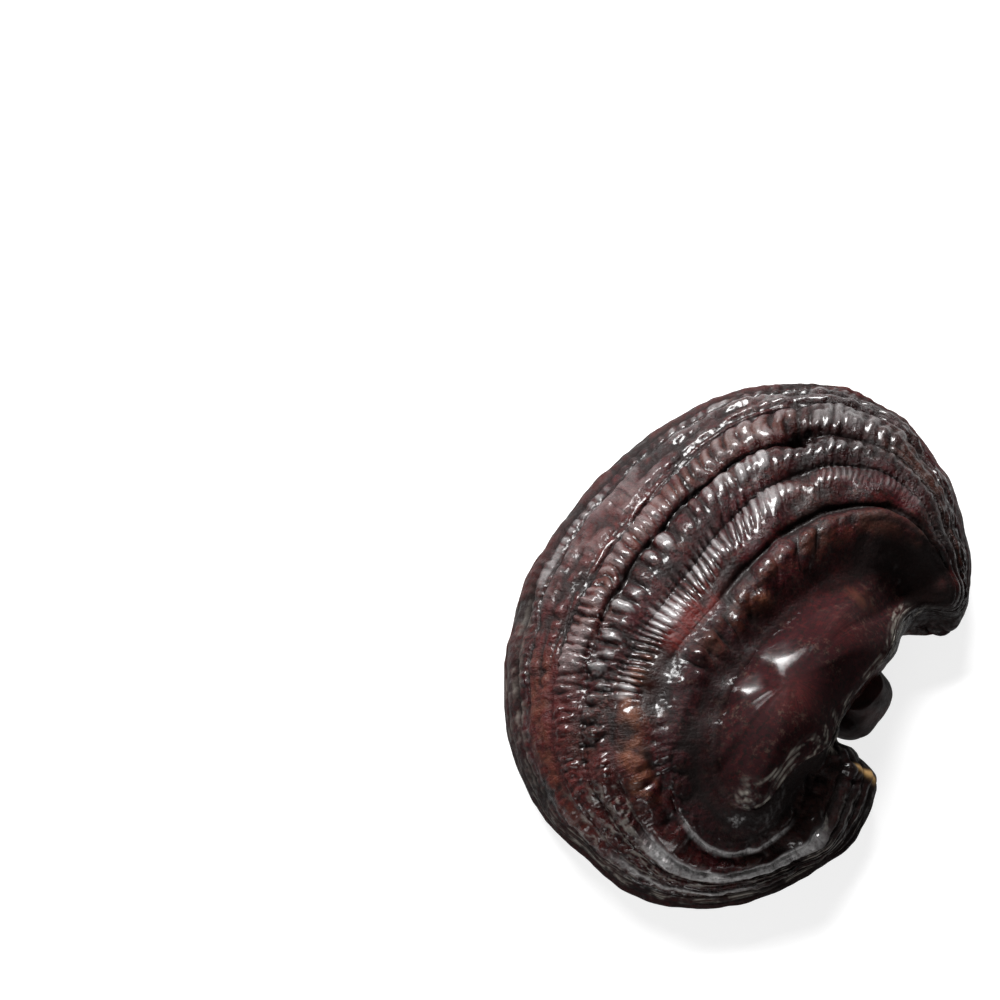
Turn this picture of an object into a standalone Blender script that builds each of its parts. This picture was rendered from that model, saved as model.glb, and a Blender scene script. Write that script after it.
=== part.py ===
# Reishi mushroom: a kidney-shaped fan cap on a short thick stem, lying as it rests on a table.
# The cap is one closed surface. Spokes run from the foot of the boss out to the rim, and growth
# lines run around it. Each line's place and height comes from a few cross-sections of the fan.
# Lengths are in millimetres until the mesh is made.

import bmesh
import bpy
import numpy as np
from mathutils import Matrix

NAME = "reishi_mushroom"
MM = 0.001

# The spokes of the fan, clockwise seen from above, starting at the tip of the lower lobe:
# rim x, y and z at the widest, foot of the boss x, y and z, height of the lip under the rim.
SPOKES = np.array([
    (28.0, -31.5, 7.5, 14.0, -34.0, 22.0, 0.0),     # 0 tip of the lower lobe
    (27.5, -36.5, 6.5, 11.0, -36.2, 22.5, 0.0),
    (22.5, -45.0, 6.0, 7.5, -39.3, 23.0, 0.0),
    (14.5, -52.0, 6.0, 4.0, -43.2, 22.5, 0.0),
    (3.5, -57.0, 5.0, 0.5, -46.2, 22.0, 0.0),
    (-7.0, -60.0, 5.0, -3.0, -45.9, 22.0, 0.0),     # 5 lower edge
    (-17.5, -60.0, 5.0, -5.5, -43.2, 23.0, 0.0),
    (-27.0, -56.5, 5.0, -7.0, -39.5, 24.5, 0.0),
    (-35.0, -49.5, 5.5, -7.5, -36.5, 26.5, 0.0),
    (-43.5, -40.5, 6.0, -7.0, -33.5, 27.5, 0.0),
    (-49.0, -29.0, 7.0, -6.5, -30.0, 28.0, 0.0),    # 10 left edge
    (-52.0, -13.5, 8.0, -5.5, -26.0, 27.3, 0.0),
    (-51.0, 2.5, 8.0, -4.0, -22.0, 27.4, 0.0),
    (-46.5, 17.5, 9.0, -2.0, -18.0, 27.6, 0.0),
    (-36.5, 34.5, 10.0, 1.0, -14.0, 27.6, 0.0),
    (-23.0, 50.0, 11.0, 4.5, -9.5, 27.5, 0.0),      # 15 upper left
    (-6.0, 62.0, 12.0, 8.5, -5.0, 27.0, 0.0),
    (13.5, 68.0, 12.0, 13.5, 0.0, 26.2, 0.0),
    (30.0, 66.0, 12.0, 19.0, 4.5, 25.3, 0.0),
    (43.0, 55.5, 12.0, 26.0, 8.0, 23.6, 0.0),
    (51.0, 40.0, 11.0, 31.0, 10.8, 21.5, 0.0),       # 20 upper right
    (54.0, 25.0, 10.0, 34.4, 11.0, 18.5, 0.0),
    (53.3, 14.5, 9.0, 36.0, 10.2, 16.5, 0.0),
    (50.5, 7.2, 7.0, 36.5, 8.6, 15.5, 0.0),         # 23 tip of the upper lobe
    (43.8, 7.4, 6.5, 36.3, 6.3, 15.5, 1.5),
    (37.2, 2.4, 9.5, 34.9, 2.6, 16.0, 6.5),       # 25 notch
    (33.0, -6.6, 14.0, 31.6, -7.5, 18.0, 11.5),
    (26.4, -13.6, 15.5, 25.8, -15.0, 19.0, 12.5),
    (22.8, -18.6, 15.5, 22.2, -20.1, 19.5, 12.5),
    (20.6, -22.8, 15.0, 20.0, -24.4, 19.5, 12.0),
    (19.0, -26.4, 13.0, 18.2, -28.3, 19.5, 9.0),    # 30 root of the lower lobe
    (22.8, -28.3, 10.5, 16.4, -31.4, 20.5, 4.0),
])

# Cross-sections of the fan at some of the spokes. Each pair is how far out a growth line lies, as a
# share of the spoke, and its height: crest of the inner ridge, crease, inner and outer groove of
# the beaded ridge, crack, and the groove above the rim.
SECTIONS = {
    1: ((0.07, 15.0), (0.19, 14.0), (0.48, 13.0), (0.67, 12.0), (0.79, 10.5), (0.92, 8.8)),
    3: ((0.22, 16.5), (0.37, 13.5), (0.70, 11.8), (0.85, 10.0), (0.92, 8.7), (0.97, 7.2)),
    5: ((0.38, 17.0), (0.51, 13.8), (0.75, 11.2), (0.84, 9.8), (0.90, 8.6), (0.95, 7.2)),
    7: ((0.35, 22.0), (0.44, 20.0), (0.71, 16.5), (0.82, 14.0), (0.89, 11.5), (0.96, 8.5)),
    9: ((0.24, 28.5), (0.37, 27.0), (0.61, 24.5), (0.76, 21.0), (0.88, 17.5), (0.97, 12.0)),
    11: ((0.18, 30.0), (0.31, 29.3), (0.48, 27.8), (0.63, 25.5), (0.78, 22.5), (0.90, 17.5)),
    14: ((0.14, 30.5), (0.23, 29.9), (0.39, 28.4), (0.58, 26.5), (0.71, 24.0), (0.89, 18.0)),
    17: ((0.18, 31.0), (0.28, 29.4), (0.48, 27.7), (0.64, 25.0), (0.81, 21.5), (0.92, 17.5)),
    19: ((0.26, 28.5), (0.35, 27.0), (0.53, 25.5), (0.67, 23.0), (0.84, 19.0), (0.93, 16.0)),
    21: ((0.38, 23.5), (0.46, 22.5), (0.57, 21.0), (0.69, 19.0), (0.79, 17.0), (0.88, 14.0)),
    23: ((0.70, 14.5), (0.80, 13.5), (0.87, 12.5), (0.92, 11.5), (0.95, 10.0), (0.98, 8.5)),
    26: ((0.15, 17.6), (0.30, 17.1), (0.45, 16.6), (0.60, 16.1), (0.75, 15.6), (0.88, 15.1)),
    29: ((0.15, 18.9), (0.30, 18.3), (0.45, 17.6), (0.60, 16.9), (0.75, 16.3), (0.88, 15.6)),
}

CROWN = np.array((8.0, -21.5))     # top of the boss in plan
CROWN_HEIGHT = 32.0
BOSS_EDGE = (2.4, 0.8)              # where it ends in an edge: power of the top and of the foot
BOSS_EASE = (2.6, 2.0)              # where it eases into the valley
BOSS_EDGED = {0: 1.0, 3: 1.0, 6: 0.6, 9: 0.3, 14: 0.2, 18: 0.0, 22: 0.0, 24: 0.1, 26: 0.7, 28: 1.0}

# Swellings and pits of the upper face: plan x, y, height and radius.
LUMPS = (
    (6.0, -33.0, 2.0, 9.0),         # lower half of the boss
    (22.0, -10.0, 2.2, 9.0),        # upper half of the boss
    (14.5, 44.0, -3.5, 3.2),        # pit across the beaded ridge
)

# How far each band between two growth lines swells, as a share of its width.
BAND_SWELL = (0.0, 0.06, 0.13, 0.20, 0.14, 0.10, 0.05)
SWELL_POWER = 0.7                   # below 1 the bands are round and meet in sharp grooves
SOFT_POWER = 1.6                    # above 1 the bands run into each other
SOFT_SWELL = 0.5                    # height of a soft band, as a share of a firm one
FIRMNESS = {1: 0.6, 4: 0.8, 7: 0.5, 9: 0.15, 12: 0.2, 15: 0.8, 17: 1.0, 22: 0.8, 27: 0.7}   # 1 is sharp
RIB_COUNT = 26                      # broad low ribs that cross the bands
RIB_HEIGHT = 0.25
RIB_START = 1.5                     # in bands, counted from the foot of the boss
MARGIN_LAYERS = 2                   # layers between the rim and the lip
MARGIN_SWELL = 0.7
SHORT_SPOKE = 14.0                  # on spokes shorter than this the layers fade out

LIP_INSET_SHARE = 0.25              # how far the lip lies inside the rim, as a share of the spoke
LIP_INSET_LIMITS = (1.2, 6.0)
PORE_HEIGHT = 12.0                  # height of the pore face away from the lip
PORE_RISE = 13.0                    # how far inside the lip it reaches that height, if not at the ring
# Where the pore face lies lower, under the two thin lobes: plan x, y, drop and radius.
PORE_DROPS = (
    (10.0, -42.0, 5.5, 13.0),
    (43.0, 14.0, 5.5, 13.0),
)
INNER_RING_SHARE = 0.8              # a ring of the pore face, as a share of the boss's footprint

STEM_CENTRE = np.array((24.5, -11.7))
SEAT_HEIGHT = 12.0                  # flat patch of the pore face over the stem
SEAT_RADIUS = 12.0
SEAT_BLEND = 6.0
STEM_GAP = 0.3
STEM_TOP_RADIUS = 6.2
STEM_BULGE_RADIUS = 8.9
STEM_BULGE_HEIGHT = 6.0
STEM_FOOT_RADIUS = 7.7
STEM_LUMP_SHARE = 0.04              # how far the sides swell, as a share of the radius

CAP_SIDES = 96
BOSS_STEPS = 8
BAND_STEPS = (3, 3, 4, 4, 3, 3, 3)
MARGIN_STEPS = 6
PORE_STEPS = (5, 4)                 # lip to the inner ring, inner ring to the middle
STEM_SIDES = 40
STEM_TOP_STEPS = 4
STEM_SIDE_STEPS = 7
STEM_FOOT_STEPS = 4

CAP_COLOUR = (0.042, 0.014, 0.012, 1.0)
CAP_ROUGHNESS = 0.3
STEM_COLOUR = (0.022, 0.010, 0.009, 1.0)
STEM_ROUGHNESS = 0.45
SHARP_ANGLE = 0.7


def ramp(steps):
    """Even steps from 0 up to but not including 1."""
    return np.arange(steps) / steps


def smooth_step(value):
    value = np.clip(value, 0.0, 1.0)
    return value * value * (3 - 2 * value)


def cubic(start, end, start_slope, end_slope, t):
    """The cubic from one value to another with the given slopes at both ends."""
    return (
        start * (1 + 2 * t) * (1 - t) ** 2
        + end * (3 - 2 * t) * t ** 2
        + start_slope * t * (1 - t) ** 2
        - end_slope * (1 - t) * t ** 2
    )


def closed_curve(knots, values, place, period):
    """A smooth closed curve through the values at the knots, read at each place."""
    knots = np.asarray(knots, float)
    gap = np.diff(np.append(knots, knots[0] + period))[:, None]
    rise = (np.roll(values, -1, axis=0) - values) / gap
    gap_before = np.roll(gap, 1, axis=0)
    slope = (rise * gap_before + np.roll(rise, 1, axis=0) * gap) / (gap_before + gap)
    start = np.searchsorted(knots, place, side="right") - 1
    end = (start + 1) % len(knots)
    t = ((place - knots[start]) % period)[:, None] / gap[start]
    return cubic(values[start], values[end], slope[start] * gap[start], slope[end] * gap[start], t)


def across_lines(values, slopes, bands):
    """A smooth run across the growth lines, read at each number of bands from the first."""
    start = bands.astype(int)
    return cubic(
        values[:, start], values[:, start + 1], slopes[:, start], slopes[:, start + 1], bands - start
    )


def along_spokes(table, place):
    """A value given at some spokes, read at each place and kept between 0 and 1."""
    keys = sorted(table)
    values = np.array([[table[key]] for key in keys])
    return np.clip(closed_curve(keys, values, place, len(SPOKES)), 0.0, 1.0)


def fan_lines(place, spokes):
    """Share of the spoke and height of the eight growth lines, from the boss's foot to the rim."""
    keys = sorted(SECTIONS)
    sections = np.array([np.ravel(SECTIONS[key]) for key in keys])
    sections = closed_curve(keys, sections, place, len(SPOKES))
    foot = np.zeros((len(place), 1))
    share = np.hstack([foot, sections[:, 0::2], foot + 1])
    height = np.hstack([spokes[:, 5:6], sections[:, 1::2], spokes[:, 2:3]])
    return share, height


def boss_rows(place, foot, foot_height):
    """From the crown down to the foot: it ends in an edge by the notch and eases out elsewhere."""
    out = ramp(BOSS_STEPS)
    plan = CROWN + (foot - CROWN) * out[:, None]
    edged = (1 - out ** BOSS_EDGE[0]) ** BOSS_EDGE[1]
    eased = (1 - out ** BOSS_EASE[0]) ** BOSS_EASE[1]
    dome = eased + (edged - eased) * along_spokes(BOSS_EDGED, place)
    height = foot_height + (CROWN_HEIGHT - foot_height) * dome
    return np.dstack([plan, height])


def fan_rows(foot, rim, share, height):
    """The bands: a smooth run through the growth lines, upright where it ends at the rim."""
    bands = np.concatenate([line + ramp(steps) for line, steps in enumerate(BAND_STEPS)])
    share_slope = np.gradient(share, axis=1)
    share_slope[:, -1] = 0.0
    height_slope = np.gradient(height, axis=1)
    height_slope[:, 0] = 0.0
    run = across_lines(share, share_slope, bands)
    plan = foot + (rim - foot) * run[:, :, None]
    return np.dstack([plan, across_lines(height, height_slope, bands)])


def fan_lift(place, share, height, length):
    """How far the bands and the broad ribs stand out of the smooth fan."""
    bands = np.concatenate([line + ramp(steps) for line, steps in enumerate(BAND_STEPS)])
    band = bands.astype(int)
    width = np.hypot(np.diff(share, axis=1) * length, np.diff(height, axis=1))
    inside = bands - band
    firm = along_spokes(FIRMNESS, place)
    arch = 4 * inside * (1 - inside)
    swell = firm * arch ** SWELL_POWER + SOFT_SWELL * (1 - firm) * arch ** SOFT_POWER
    swell *= np.array(BAND_SWELL)[band]
    rib = RIB_HEIGHT * np.sin(2 * np.pi * RIB_COUNT * place / len(SPOKES))
    fade = smooth_step(bands - RIB_START) * smooth_step(len(BAND_STEPS) - bands)
    return width[:, band] * swell + rib[:, None] * fade


def margin_rows(foot, rim, rim_height, lip_height, inset):
    """A quarter turn from the rim, the widest line, down and in to the lip."""
    turn = ramp(MARGIN_STEPS) * np.pi / 2
    plan = foot + (rim - foot) * (1 - inset * (1 - np.cos(turn)))[:, :, None]
    return np.dstack([plan, rim_height + (lip_height - rim_height) * np.sin(turn)])


def margin_lift(length):
    """Round layers between the rim and the lip, fading out in the notch."""
    layers = np.abs(np.sin(np.pi * MARGIN_LAYERS * ramp(MARGIN_STEPS))) ** SWELL_POWER
    return MARGIN_SWELL * layers * smooth_step(length / SHORT_SPOKE)


def pore_rows(foot, lip, lip_height):
    """The hollow pore face, from the lip by way of a ring under the boss to the middle.

    Short spokes reach its full height at the ring, and long ones before it.
    """
    ring = CROWN + (foot - CROWN) * INNER_RING_SHARE
    outer = lip + (ring - lip) * ramp(PORE_STEPS[0])[:, None]
    inner = ring + (CROWN - ring) * np.append(ramp(PORE_STEPS[1]), 1.0)[:, None]
    plan = np.concatenate([outer, inner], axis=1)
    face = np.full(plan.shape[:2], PORE_HEIGHT)
    for x, y, drop, radius in PORE_DROPS:
        distance = np.linalg.norm(plan - (x, y), axis=2)
        face -= drop * np.exp(-((distance / radius) ** 2))
    face = np.maximum(face, lip_height)
    at_ring = np.append(ramp(PORE_STEPS[0]), np.ones(PORE_STEPS[1] + 1))
    rise = smooth_step(np.maximum(np.linalg.norm(plan - lip, axis=2) / PORE_RISE, at_ring))
    height = lip_height + (face - lip_height) * rise
    seat = smooth_step(1 + (SEAT_RADIUS - np.linalg.norm(plan - STEM_CENTRE, axis=2)) / SEAT_BLEND)
    seat[:, 0] = 0.0
    return np.dstack([plan, height + (SEAT_HEIGHT - height) * seat])


def outward(points):
    """Unit normals of a grid of points that is closed around and open along its rows."""
    around = np.roll(points, -1, axis=0) - np.roll(points, 1, axis=0)
    normal = np.cross(around, np.gradient(points, axis=1))
    return normal / np.maximum(np.linalg.norm(normal, axis=2, keepdims=True), 1e-9)


def cap_points():
    """The whole cap as points[place around, row], from the crown to the middle underneath."""
    place = np.arange(CAP_SIDES) * len(SPOKES) / CAP_SIDES
    spokes = closed_curve(range(len(SPOKES)), SPOKES, place, len(SPOKES))
    rim = spokes[:, None, 0:2]
    rim_height = spokes[:, 2:3]
    foot = spokes[:, None, 3:5]
    foot_height = spokes[:, 5:6]
    lip_height = np.maximum(spokes[:, 6:7], 0.0)
    length = np.linalg.norm(rim - foot, axis=2)
    inset = np.clip(LIP_INSET_SHARE * length, *LIP_INSET_LIMITS) / length
    lip = rim + (foot - rim) * inset[:, :, None]
    share, height = fan_lines(place, spokes)

    boss = boss_rows(place, foot, foot_height)
    fan = fan_rows(foot, rim, share, height)
    margin = margin_rows(foot, rim, rim_height, lip_height, inset)
    pores = pore_rows(foot, lip, lip_height)
    points = np.concatenate([boss, fan, margin, pores], axis=1)
    lift = np.hstack([
        np.zeros(boss.shape[:2]),
        fan_lift(place, share, height, length),
        margin_lift(length),
        np.zeros(pores.shape[:2]),
    ])
    points += outward(points) * lift[:, :, None]

    top_rows = boss.shape[1] + fan.shape[1]
    for x, y, rise, radius in LUMPS:
        distance = np.linalg.norm(points[:, :top_rows, :2] - (x, y), axis=2)
        points[:, :top_rows, 2] += rise * np.exp(-((distance / radius) ** 2))
    points[:, :, 2] = np.maximum(points[:, :, 2], 0.0)
    return points


def stem_points():
    """A squat lumpy stub: flat top, bulging side and flat cut foot."""
    angle = -2 * np.pi * ramp(STEM_SIDES)
    top_height = SEAT_HEIGHT - STEM_GAP
    side = np.append(ramp(STEM_SIDE_STEPS), 1.0)
    bulge = 1 - STEM_BULGE_HEIGHT / top_height
    above = np.clip(side / bulge, 0.0, 1.0)
    below = np.clip((side - bulge) / (1 - bulge), 0.0, 1.0)
    side_radius = STEM_TOP_RADIUS + (STEM_BULGE_RADIUS - STEM_TOP_RADIUS) * np.sin(above * np.pi / 2)
    side_radius += (STEM_FOOT_RADIUS - STEM_BULGE_RADIUS) * (1 - np.cos(below * np.pi / 2))
    radius = np.concatenate([
        STEM_TOP_RADIUS * ramp(STEM_TOP_STEPS),
        side_radius,
        STEM_FOOT_RADIUS * (1 - ramp(STEM_FOOT_STEPS)[1:]),
        [0.0],
    ])
    height = np.concatenate([
        np.full(STEM_TOP_STEPS, top_height),
        top_height * (1 - side),
        np.zeros(STEM_FOOT_STEPS),
    ])
    lumps = 1 + STEM_LUMP_SHARE * (np.sin(3 * angle + 0.6) + np.sin(5 * angle + 2.0) / 2)
    reach = lumps[:, None] * radius
    direction = np.dstack([np.cos(angle), np.sin(angle)])[0]
    plan = STEM_CENTRE + direction[:, None] * reach[:, :, None]
    return np.dstack([plan, np.broadcast_to(height, reach.shape)])


def moved_sphere(name, points, material, collection):
    """An object made from a sphere whose vertices move to points[place around, row]."""
    sides, rows = points.shape[:2]
    sphere = bmesh.new()
    bmesh.ops.create_uvsphere(sphere, u_segments=sides, v_segments=rows - 1, radius=1.0)
    for vertex in sphere.verts:
        x, y, z = vertex.co
        row = round(np.arccos(np.clip(z, -1.0, 1.0)) / np.pi * (rows - 1))
        place = round(np.arctan2(-y, x) / (2 * np.pi) * sides) % sides
        vertex.co = points[place, row] * MM
    mesh = bpy.data.meshes.new(name)
    sphere.to_mesh(mesh)
    sphere.free()
    mesh.shade_smooth()
    mesh.set_sharp_from_angle(angle=SHARP_ANGLE)
    mesh.materials.append(material)
    piece = bpy.data.objects.new(name, mesh)
    collection.objects.link(piece)
    return piece


def principled(name, colour, roughness):
    material = bpy.data.materials.new(name)
    material.use_nodes = True
    shader = material.node_tree.nodes["Principled BSDF"]
    shader.inputs["Base Color"].default_value = colour
    shader.inputs["Roughness"].default_value = roughness
    shader.inputs["Metallic"].default_value = 0.0
    return material


def centre_on_origin(pieces):
    """Moves every piece so that the middle of the whole footprint is the origin."""
    corners = np.array([vertex.co for piece in pieces for vertex in piece.data.vertices])
    middle = (corners.min(axis=0) + corners.max(axis=0)) / 2
    for piece in pieces:
        piece.data.transform(Matrix.Translation((-middle[0], -middle[1], 0.0)))


def main():
    for old in list(bpy.data.objects):
        bpy.data.objects.remove(old, do_unlink=True)
    collection = bpy.data.collections.new(NAME)
    bpy.context.scene.collection.children.link(collection)
    cap_material = principled("lacquered_brown", CAP_COLOUR, CAP_ROUGHNESS)
    stem_material = principled("dark_bark_brown", STEM_COLOUR, STEM_ROUGHNESS)
    centre_on_origin([
        moved_sphere("cap", cap_points(), cap_material, collection),
        moved_sphere("stem", stem_points(), stem_material, collection),
    ])


main()
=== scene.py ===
import bpy
import numpy as np
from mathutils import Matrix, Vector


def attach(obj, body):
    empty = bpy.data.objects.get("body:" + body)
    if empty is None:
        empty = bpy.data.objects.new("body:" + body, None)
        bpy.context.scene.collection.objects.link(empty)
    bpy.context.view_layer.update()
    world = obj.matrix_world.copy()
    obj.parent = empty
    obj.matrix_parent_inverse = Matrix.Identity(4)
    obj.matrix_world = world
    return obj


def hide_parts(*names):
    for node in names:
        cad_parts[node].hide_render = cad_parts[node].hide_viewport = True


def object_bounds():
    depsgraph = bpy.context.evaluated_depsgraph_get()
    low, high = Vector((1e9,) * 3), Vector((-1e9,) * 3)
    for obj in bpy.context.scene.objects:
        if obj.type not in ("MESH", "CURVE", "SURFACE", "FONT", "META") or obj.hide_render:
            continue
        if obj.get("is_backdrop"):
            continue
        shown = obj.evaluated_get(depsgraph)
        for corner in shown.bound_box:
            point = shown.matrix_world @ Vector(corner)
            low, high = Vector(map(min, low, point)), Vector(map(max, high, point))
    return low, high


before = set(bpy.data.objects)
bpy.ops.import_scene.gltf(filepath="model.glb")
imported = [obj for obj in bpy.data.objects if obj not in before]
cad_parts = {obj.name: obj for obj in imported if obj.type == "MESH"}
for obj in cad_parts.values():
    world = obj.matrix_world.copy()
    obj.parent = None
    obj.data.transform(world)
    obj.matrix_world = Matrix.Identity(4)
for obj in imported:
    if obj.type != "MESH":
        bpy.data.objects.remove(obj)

# A dried reishi mushroom: a lacquered kidney-shaped cap with ridged growth bands on a short stem.
# Lengths in the dictionaries are millimetres. The fan has 32 spokes, counted clockwise seen from
# above, and its bands are counted outward: -1 crown, 0 foot of the boss, 1 crest of the inner
# ridge, 2 crease, 3 and 4 grooves of the beaded ridge, 5 crack, 6 groove above the rim, 7 rim,
# 8 lip, 9 ring under the boss, 10 middle underneath.

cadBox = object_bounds()
mm = 0.001
spokeCount = 32
planMiddle = np.array((1.031, 3.907, 0.0))  # plan point that lies over the frame's origin

capForm = {
    # rim x, y, z; foot of the boss x, y, z; height of the lip
    "spokes": np.array([
        (28, -31.5, 7.5, 14, -34, 22, 0), (27.5, -36.5, 6.5, 11, -36.2, 22.5, 0),  # 0 tip of the lower lobe
        (22.5, -45, 6, 7.5, -39.3, 23, 0), (14.5, -52, 6, 4, -43.2, 22.5, 0),
        (3.5, -57, 5, 0.5, -46.2, 22, 0), (-7, -60, 5, -3, -45.9, 22, 0),  # 5 lower edge
        (-17.5, -60, 5, -5.5, -43.2, 23, 0), (-27, -56.5, 5, -7, -39.5, 24.5, 0),
        (-35, -49.5, 5.5, -7.5, -36.5, 26.5, 0), (-43.5, -40.5, 6, -7, -33.5, 27.5, 0),
        (-49, -29, 7, -6.5, -30, 28, 0), (-52, -13.5, 8, -5.5, -26, 27.3, 0),  # 10 left edge
        (-51, 2.5, 8, -4, -22, 27.4, 0), (-46.5, 17.5, 9, -2, -18, 27.6, 0),
        (-36.5, 34.5, 10, 1, -14, 27.6, 0), (-23, 50, 11, 4.5, -9.5, 27.5, 0),  # 15 upper left
        (-6, 62, 12, 8.5, -5, 27, 0), (13.5, 68, 12, 13.5, 0, 26.2, 0),
        (30, 66, 12, 19, 4.5, 25.3, 0), (43, 55.5, 12, 26, 8, 23.6, 0),
        (51, 40, 11, 31, 10.8, 21.5, 0), (54, 25, 10, 34.4, 11, 18.5, 0),  # 20 upper right
        (53.3, 14.5, 9, 36, 10.2, 16.5, 0), (50.5, 7.2, 7, 36.5, 8.6, 15.5, 0),  # 23 tip of the upper lobe
        (43.8, 7.4, 6.5, 36.3, 6.3, 15.5, 1.5), (37.2, 2.4, 9.5, 34.9, 2.6, 16, 6.5),  # 25 notch
        (33, -6.6, 14, 31.6, -7.5, 18, 11.5), (26.4, -13.6, 15.5, 25.8, -15, 19, 12.5),
        (22.8, -18.6, 15.5, 22.2, -20.1, 19.5, 12.5), (20.6, -22.8, 15, 20, -24.4, 19.5, 12),
        (19, -26.4, 13, 18.2, -28.3, 19.5, 9), (22.8, -28.3, 10.5, 16.4, -31.4, 20.5, 4),  # 30 lobe root
    ]),
    # at some spokes, share of the spoke and height of growth lines 1 to 6
    "sections": {
        1: ((0.07, 15), (0.19, 14), (0.48, 13), (0.67, 12), (0.79, 10.5), (0.92, 8.8)),
        3: ((0.22, 16.5), (0.37, 13.5), (0.7, 11.8), (0.85, 10), (0.92, 8.7), (0.97, 7.2)),
        5: ((0.38, 17), (0.51, 13.8), (0.75, 11.2), (0.84, 9.8), (0.9, 8.6), (0.95, 7.2)),
        7: ((0.35, 22), (0.44, 20), (0.71, 16.5), (0.82, 14), (0.89, 11.5), (0.96, 8.5)),
        9: ((0.24, 28.5), (0.37, 27), (0.61, 24.5), (0.76, 21), (0.88, 17.5), (0.97, 12)),
        11: ((0.18, 30), (0.31, 29.3), (0.48, 27.8), (0.63, 25.5), (0.78, 22.5), (0.9, 17.5)),
        14: ((0.14, 30.5), (0.23, 29.9), (0.39, 28.4), (0.58, 26.5), (0.71, 24), (0.89, 18)),
        17: ((0.18, 31), (0.28, 29.4), (0.48, 27.7), (0.64, 25), (0.81, 21.5), (0.92, 17.5)),
        19: ((0.26, 28.5), (0.35, 27), (0.53, 25.5), (0.67, 23), (0.84, 19), (0.93, 16)),
        21: ((0.38, 23.5), (0.46, 22.5), (0.57, 21), (0.69, 19), (0.79, 17), (0.88, 14)),
        23: ((0.7, 14.5), (0.8, 13.5), (0.87, 12.5), (0.92, 11.5), (0.95, 10), (0.98, 8.5)),
        26: ((0.15, 17.6), (0.3, 17.1), (0.45, 16.6), (0.6, 16.1), (0.75, 15.6), (0.88, 15.1)),
        29: ((0.15, 18.9), (0.3, 18.3), (0.45, 17.6), (0.6, 16.9), (0.75, 16.3), (0.88, 15.6)),
    },
    "crown": np.array((8, -21.5)),
    "crownHeight": 32,
    "bossProfiles": ((2.4, 0.8), (2.6, 2)),  # powers of the edged and the eased one
    # at some spokes, share of the edged profile
    "bossEdged": {0: 1, 3: 1, 6: 0.6, 9: 0.3, 14: 0.2, 18: 0, 22: 0, 24: 0.1, 26: 0.7, 28: 1},
    # plan x, y, radius and height
    "lumps": ((6, -33, 9, 2), (22, -10, 9, 2.2), (14.5, 44, 3.2, -3.5)),
    "swell": np.array((0, 0.06, 0.13, 0.2, 0.14, 0.1, 0.05)),  # of each band, times its width
    "swellPower": 0.7,
    "softPower": 1.6,
    "softSwell": 0.5,
    # at some spokes, how firmly the bands part
    "firmness": {1: 0.6, 4: 0.8, 7: 0.5, 9: 0.15, 12: 0.2, 15: 0.8, 17: 1, 22: 0.8, 27: 0.7},
    "ribs": 26,
    "ribHeight": 0.25,
    "ribStart": 1.5,  # band
    "marginLayers": 2,
    "marginSwell": 0.7,
    "shortSpoke": 14,  # shorter spokes swell less at the margin
    "lipInset": 0.25,  # share of the spoke, and its limits
    "lipInsetLimits": (1.2, 6),
    "poreHeight": 12,
    "poreRise": 13,  # from the lip to full height
    "poreDrops": ((10, -42, 13, 5.5), (43, 14, 13, 5.5)),  # plan x, y, radius, depth
    "innerRing": 0.8,  # share of the way from the crown to the boss's foot
    "stemCentre": np.array((24.5, -11.7)),
    "seat": (12, 12, 6),  # height, radius, width of its blend
    # columns of the mesh in each gap between spokes, close together where the ridges are fine
    "columns": (12, 12, 14, 16, 16, 16, 18, 20, 22, 26, 30, 30, 30, 32, 32, 32,
                32, 30, 26, 24, 20, 18, 14, 10, 8, 8, 10, 10, 8, 8, 8, 10),
    "bossRows": 32,
    "bandRows": (11, 9, 22, 18, 18, 16, 16),
    "marginRows": 10,
    "poreRows": (7, 5),
    "gather": 0.6,  # pulls rows of a band towards its two grooves
    "bossGather": 1.3,  # pulls rows of the boss towards its foot
}


# Eases from 0 to 1 with level ends: v^2 (3 - 2v).
def ease(value):
    value = np.clip(value, 0.0, 1.0)
    return value * value * (3 - 2 * value)


# The cubic between two values with given slopes at both ends.
def cubic(start, end, startSlope, endSlope, t):
    return (start * (1 + 2 * t) * (1 - t) ** 2 + end * (3 - 2 * t) * t ** 2
            + startSlope * t * (1 - t) ** 2 - endSlope * (1 - t) * t ** 2)


# A smooth closed curve through the values at some spokes: cubics whose slopes are the mean of the
# two neighbouring rises, weighted by the opposite gap.
def closedCurve(knots, values, place):
    knots = np.asarray(knots, float)
    gap = np.diff(np.append(knots, knots[0] + spokeCount))[:, None]
    rise = (np.roll(values, -1, axis=0) - values) / gap
    before = np.roll(gap, 1, axis=0)
    slope = (rise * before + np.roll(rise, 1, axis=0) * gap) / (before + gap)
    a = np.searchsorted(knots, place, side="right") - 1
    b = (a + 1) % len(knots)
    t = ((place - knots[a]) % spokeCount)[:, None] / gap[a]
    return cubic(values[a], values[b], slope[a] * gap[a], slope[b] * gap[a], t)


# A value given at some spokes, read at each place and kept between 0 and 1.
def alongSpokes(table, place):
    keys = sorted(table)
    values = np.array([[table[key]] for key in keys])
    return np.clip(closedCurve(keys, values, place), 0.0, 1.0)


# The same cubics from one growth line to the next, with the slopes given.
def acrossLines(values, slopes, bands):
    a = bands.astype(int)
    return cubic(values[:, a], values[:, a + 1], slopes[:, a], slopes[:, a + 1], bands - a)


# Unit normals of a grid that closes around: the tangent around crossed with the tangent outward.
def outward(points):
    around = np.roll(points, -1, axis=0) - np.roll(points, 1, axis=0)
    normal = np.cross(around, np.gradient(points, axis=1))
    return normal / np.maximum(np.linalg.norm(normal, axis=2, keepdims=True), 1e-9)


# Even steps from 0 up to but not including 1.
def ramp(steps):
    return np.arange(steps) / steps


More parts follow.
